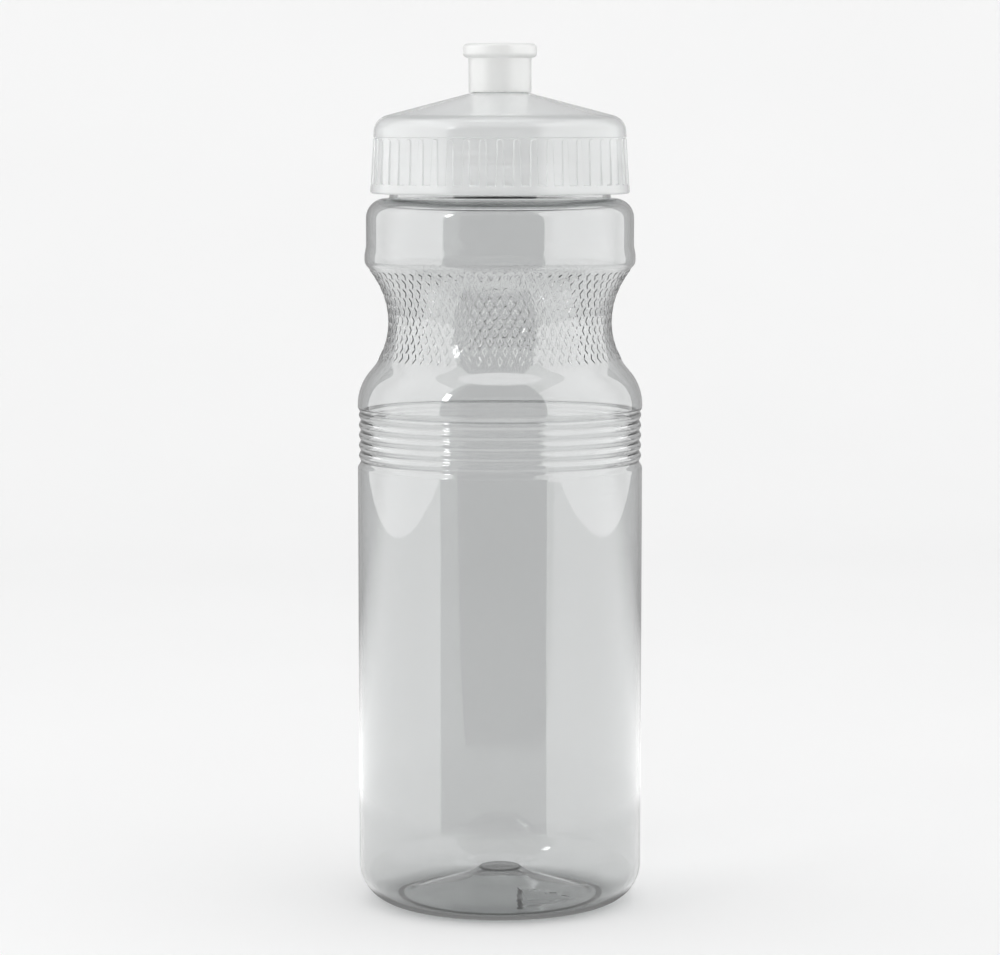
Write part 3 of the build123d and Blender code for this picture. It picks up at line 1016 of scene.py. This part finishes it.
def spoke_tree(material):
    """Copies of one spoke turned evenly round the axis."""
    tree = tree_with_inputs("turn_round", {"Count": 3.0})
    source = put(tree, "NodeGroupInput")
    spots = put(tree, "GeometryNodePoints", {}, {"Count": source.outputs["Count"]})
    number = put(tree, "GeometryNodeInputIndex")
    share = maths(tree, "DIVIDE", number.outputs[0], source.outputs["Count"])
    turn = maths(tree, "MULTIPLY", share, 2 * math.pi)
    spin = put(tree, "ShaderNodeCombineXYZ", {}, {"Z": turn})
    copies = put(
        tree,
        "GeometryNodeInstanceOnPoints",
        {},
        {"Points": spots.outputs[0], "Instance": source.outputs["Geometry"], "Rotation": spin.outputs[0]},
    )
    return end_tree(tree, copies, material)


def spokes():
    """Three flat spokes from the plug to the post's wall."""
    bm = bmesh.new()
    low, high, half = PLUG_LOW + 0.05, PLUG_LOW + 3.0, 0.6
    inner, outer = PLUG - 0.4, POST - POST_WALL + 0.3
    bmesh.ops.create_cube(bm, size=1.0)
    for v in bm.verts:
        x = v.co.x * 2 * half
        y = inner + (v.co.y + 0.5) * (outer - inner)
        v.co = Vector((x, y, low + (v.co.z + 0.5) * (high - low))) * MM
    bmesh.ops.bevel(bm, geom=bm.edges[:], offset=0.2 * MM, segments=2, affect="EDGES")
    holder = placed("spoke", mesh_of("spoke", bm))
    turned = run_tree(holder, spoke_tree(polypropylene), {"Count": 3.0})
    bpy.data.objects.remove(holder)
    return turned


add_shell(cap, plug())
add_shell(cap, spokes())
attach(cap, "cap")
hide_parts("screw_cap")

# %% [markdown]
# ## The mouthpiece
# A soft sleeve with a full round flange. Its lower lip catches under the post's bead when it is pulled
# up, and the plug shuts the hole in its top when it is pushed down. It is one closed turned skin.

# %% Mouthpiece
SLIDE_GAP, STEM_WALL = 0.15, 1.15
STEM = BEAD + SLIDE_GAP + STEM_WALL
FLANGE = STEM + 1.4
FLANGE_TOP = mouth_high.z / MM
STEM_LOW = mouth_low.z / MM
FLANGE_EDGE = 1.1
CEILING = FLANGE_TOP - 3.5
STEM_BORE, STEM_LIP, DRINK = BEAD + SLIDE_GAP, POST + SLIDE_GAP, PLUG + SLIDE_GAP


def mouthpiece_outline():
    """Closed outline, counter-clockwise: stem, flange, drinking hole, bore and lower lip."""
    foot = STEM_LOW - (STEM - STEM_LIP) * DOME_SLOPE
    points = arc((STEM - 0.2, foot + 0.2), 0.2, -90, 0, 3)
    points += run(points[-1], (STEM, CEILING - 0.3), 6)
    points += arc((STEM + 0.3, CEILING - 0.3), 0.3, 180, 90, 4)[1:]
    points += arc((FLANGE - FLANGE_EDGE, CEILING + FLANGE_EDGE), FLANGE_EDGE, -85, 0, 8)
    points += arc((FLANGE - FLANGE_EDGE, FLANGE_TOP - FLANGE_EDGE), FLANGE_EDGE, 0, 90, 8)
    points += run(points[-1], (DRINK + 0.7, FLANGE_TOP), 4)
    points += arc((DRINK + 0.7, FLANGE_TOP - 0.7), 0.7, 90, 180, 5)[1:]
    points += run(points[-1], (DRINK, CEILING + 0.2), 3)
    points += [(DRINK + 0.2, CEILING)]
    points += run(points[-1], (STEM_BORE - 0.2, CEILING), 3)
    points += [(STEM_BORE, CEILING - 0.2)]
    points += run(points[-1], (STEM_BORE, STEM_LOW + 1.3), 6)
    lip_top = STEM_LOW + 1.2
    points += [(STEM_BORE - 0.1, lip_top), (STEM_LIP + 0.1, lip_top), (STEM_LIP, STEM_LOW + 1.1)]
    points += [(STEM_LIP, STEM_LOW + 0.4), (STEM_LIP + 0.3, STEM_LOW)]
    return points


bm = bmesh.new()
lathe(bm, mouthpiece_outline(), even_angles(192), closed=True)
mouthpiece = finished("push_pull_mouthpiece", bm, polyethylene, 50)
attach(mouthpiece, "mouthpiece")
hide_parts("mouthpiece")

# %% [markdown]
# ## Floor, light and camera
# A clear thing shows mostly what stands round it. Two tall white panels stand left and right of the
# camera. Between them, mirrored rays meet a painted dark gap, which makes the upright grey band in the
# bottle. A small lamp up on the left makes the sparks on the collar, waist and ribs.
#
# The floor and the world answer two kinds of rays in two ways. A ray that was mirrored, and met nothing
# matt since, sees a painted reflection of a room: painted panel light at the sides, a painted dark gap in
# front, a dimmer painted back and a bright painted ceiling. It also sees the crease between the bottle's
# heel and the floor as a darker disc, a painted contact shadow. Every other ray sees an even pale room.
# Both belong to the stage and not to the bottle's materials.

# %% Floor
WHITE_APRON = 0.135
PANEL_SIDE = 0.85
PANEL_NEAR = {"left": 0.74, "right": 1.09}
PANEL_FAR = {"left": 0.74, "right": 0.77}
# Brightness of the panel lamps, then greys of the painted reflection at the back and overhead.
PANEL_LIGHT, PAINTED_BACK_REFLECTION, PAINTED_CEILING_REFLECTION = 1.6, 0.5, 2.1
# Painted panel light that mirrored rays see on the floor and in the world.
PAINTED_SIDE_REFLECTION = 1.3
CEILING_FROM = math.sin(math.radians(66))
GAP_EDGE = {"left": Vector((-0.0145, -0.0335, 0)), "right": Vector((0.0115, -0.0345, 0))}
# Radii of the painted contact shadow round the heel, seen only by mirrored rays.
CREASE_SHADE_SPAN = (0.033, 0.041)
# Painted dark gap between the panels and painted contact shadow in the heel's crease, for mirrored rays.
PAINTED_DARK_GAP, PAINTED_CREASE_SHADE = "#262626", "#888888"
ROOM_TONE = 1.04


def seen_in_gloss(tree):
    """1 for a ray that was mirrored and has met nothing matt since, 0 for all others."""
    ray = put(tree, "ShaderNodeLightPath")
    mirrored = maths(tree, "GREATER_THAN", ray.outputs["Glossy Depth"], 0.5)
    clean = maths(tree, "LESS_THAN", ray.outputs["Diffuse Depth"], 0.5)
    return maths(tree, "MULTIPLY", mirrored, clean)


def in_gap(tree, point, beside_bottle):
    """1 for a point or a direction that lies in the gap between the two panels, in front."""
    tests = []
    for name, side in (("left", 1), ("right", -1)):
        across = Vector((side, -PANEL_SIDE / PANEL_NEAR[name], 0))
        limit = across.dot(GAP_EDGE[name]) if beside_bottle else 0.0
        beside = put(tree, "ShaderNodeVectorMath", {"operation": "DOT_PRODUCT"}, {0: point, 1: across})
        tests.append(maths(tree, "GREATER_THAN", beside.outputs["Value"], limit))
    return maths(tree, "MULTIPLY", *tests)


def painted_reflection_room(tree, point, beside_bottle):
    """Painted reflection for a mirrored ray: panel light at the sides, a dark gap, a dimmer back."""
    axes = put(tree, "ShaderNodeSeparateXYZ", {}, {0: point})
    depth = {"Value": axes.outputs["Y"], "From Min": 0.2, "From Max": 0.5}
    behind = put(tree, "ShaderNodeMapRange", {}, depth)
    sides = blend(tree, behind.outputs[0], grey(PAINTED_SIDE_REFLECTION), grey(PAINTED_BACK_REFLECTION))
    return blend(tree, in_gap(tree, point, beside_bottle), sides, linear(PAINTED_DARK_GAP))


def floor_with_painted_reflection(name, colour):
    """Matt paper with a hardly visible mottle. To mirrored rays it shows a painted contact shadow at
    the heel and, beyond the apron, a painted reflection of the room.
    """
    material, tree = new_material(name)
    place = put(tree, "ShaderNodeTexCoord").outputs["Object"]
    tint = blend(tree, noise(tree, place, 6.0), linear(colour[0]), linear(colour[1]))
    shader = put(tree, "ShaderNodeBsdfPrincipled", {}, {"Base Color": tint, "Roughness": 0.8})
    length = put(tree, "ShaderNodeVectorMath", {"operation": "LENGTH"}, {0: place})
    away = length.outputs["Value"]
    beyond = smooth_step(tree, away, WHITE_APRON, WHITE_APRON + 0.03)
    # Painted contact shadow: a darker disc under the heel, shown only to mirrored rays.
    under = smooth_step(tree, away, CREASE_SHADE_SPAN[0], CREASE_SHADE_SPAN[1], 1.0, 0.0)
    swap = maths(tree, "MULTIPLY", maths(tree, "MAXIMUM", beyond, under), seen_in_gloss(tree))
    shade = blend(tree, under, painted_reflection_room(tree, place, True), linear(PAINTED_CREASE_SHADE))
    # The floor glows with the painted reflection of the room, though the floor is no lamp.
    room = put(tree, "ShaderNodeEmission", {}, {"Color": shade})
    mix = put(tree, "ShaderNodeMixShader", {}, {0: swap, 1: shader.outputs[0], 2: room.outputs[0]})
    put(tree, "ShaderNodeOutputMaterial", {}, {"Surface": mix.outputs[0]})
    return material


def sweep_floor():
    """A floor that curves up into a back wall, so that no corner shows."""
    half_width, front, back, height, bend = 2.2, -2.2, 1.3, 2.4, 0.6
    section = [(front, 0.0), (back - bend, 0.0)]
    section += [(back - bend + bend * math.sin(t), bend - bend * math.cos(t)) for t in
                (math.pi / 2 * i / 16 for i in range(1, 17))]
    section += [(back, height)]
    bm = bmesh.new()
    sides = [[bm.verts.new((x, y, z)) for y, z in section] for x in (-half_width, half_width)]
    for i in range(len(section) - 1):
        bm.faces.new((sides[0][i], sides[1][i], sides[1][i + 1], sides[0][i + 1]))
    mesh = mesh_of("studio_sweep", bm)
    mesh.shade_smooth()
    mesh.materials.append(floor_with_painted_reflection("paper_matt_white_painted_reflection", ("#F4F4F4", "#F1F1F1")))
    return placed("studio_sweep", mesh)


floor = sweep_floor()

# %% Lights


def panel(name, centre, target, width, height, radiance):
    """A soft rectangular light that faces a point; its power follows from how bright it looks."""
    light = bpy.data.lights.new(name, "AREA")
    light.shape = "RECTANGLE"
    light.size, light.size_y = width, height
    light.energy = radiance * math.pi * width * height
    lamp = placed(name, light)
    lamp.location = centre
    lamp.rotation_euler = (Vector(target) - Vector(centre)).to_track_quat("-Z", "Y").to_euler()
    return lamp


PANEL_TALL = 1.4
for name, side in (("left", -1), ("right", 1)):
    near, far = PANEL_NEAR[name], PANEL_FAR[name]
    centre = Vector((side * PANEL_SIDE, (far - near) / 2, PANEL_TALL / 2))
    lamp = panel(name + "_panel", centre, centre * Vector((0, 1, 1)), far + near, PANEL_TALL, PANEL_LIGHT)
    lamp.visible_camera = False
    lamp.visible_diffuse = False
    lamp.visible_transmission = False
middle = Vector((0, 0, 0.14))
lamp = panel("key_lamp", (-0.62, -0.58, 0.62), middle, 0.08, 0.25, 12.0)
lamp.visible_camera = False

world = bpy.data.worlds.new("pale_room_and_painted_reflection")
bpy.context.scene.world = world
world.use_nodes = True
world.cycles.sampling_method = "NONE"
tree = world.node_tree
background = tree.nodes["Background"]
# Mirrored rays see a painted reflection room with a painted bright ceiling; others see the even pale room.
place = put(tree, "ShaderNodeTexCoord")
axes = put(tree, "ShaderNodeSeparateXYZ", {}, {0: place.outputs["Generated"]})
overhead = maths(tree, "GREATER_THAN", axes.outputs["Z"], CEILING_FROM)
room = painted_reflection_room(tree, place.outputs["Generated"], False)
room = blend(tree, overhead, room, grey(PAINTED_CEILING_REFLECTION))
tone = blend(tree, seen_in_gloss(tree), grey(ROOM_TONE), room)
tree.links.new(tone, background.inputs["Color"])
bpy.context.scene.view_settings.view_transform = "Standard"

# %% Camera
CAMERA_DISTANCE, CAMERA_HEIGHT, AIM_HEIGHT, LENS = 0.900, 0.200, 0.1095, 126.7
camera_data = bpy.data.cameras.new("camera")
camera_data.lens = LENS
camera_data.clip_start = 0.05
camera = placed("camera", camera_data)
camera.location = (0, -CAMERA_DISTANCE, CAMERA_HEIGHT)
aim = Vector((0, 0, AIM_HEIGHT)) - camera.location
camera.rotation_euler = aim.to_track_quat("-Z", "Y").to_euler()
bpy.context.scene.camera = camera
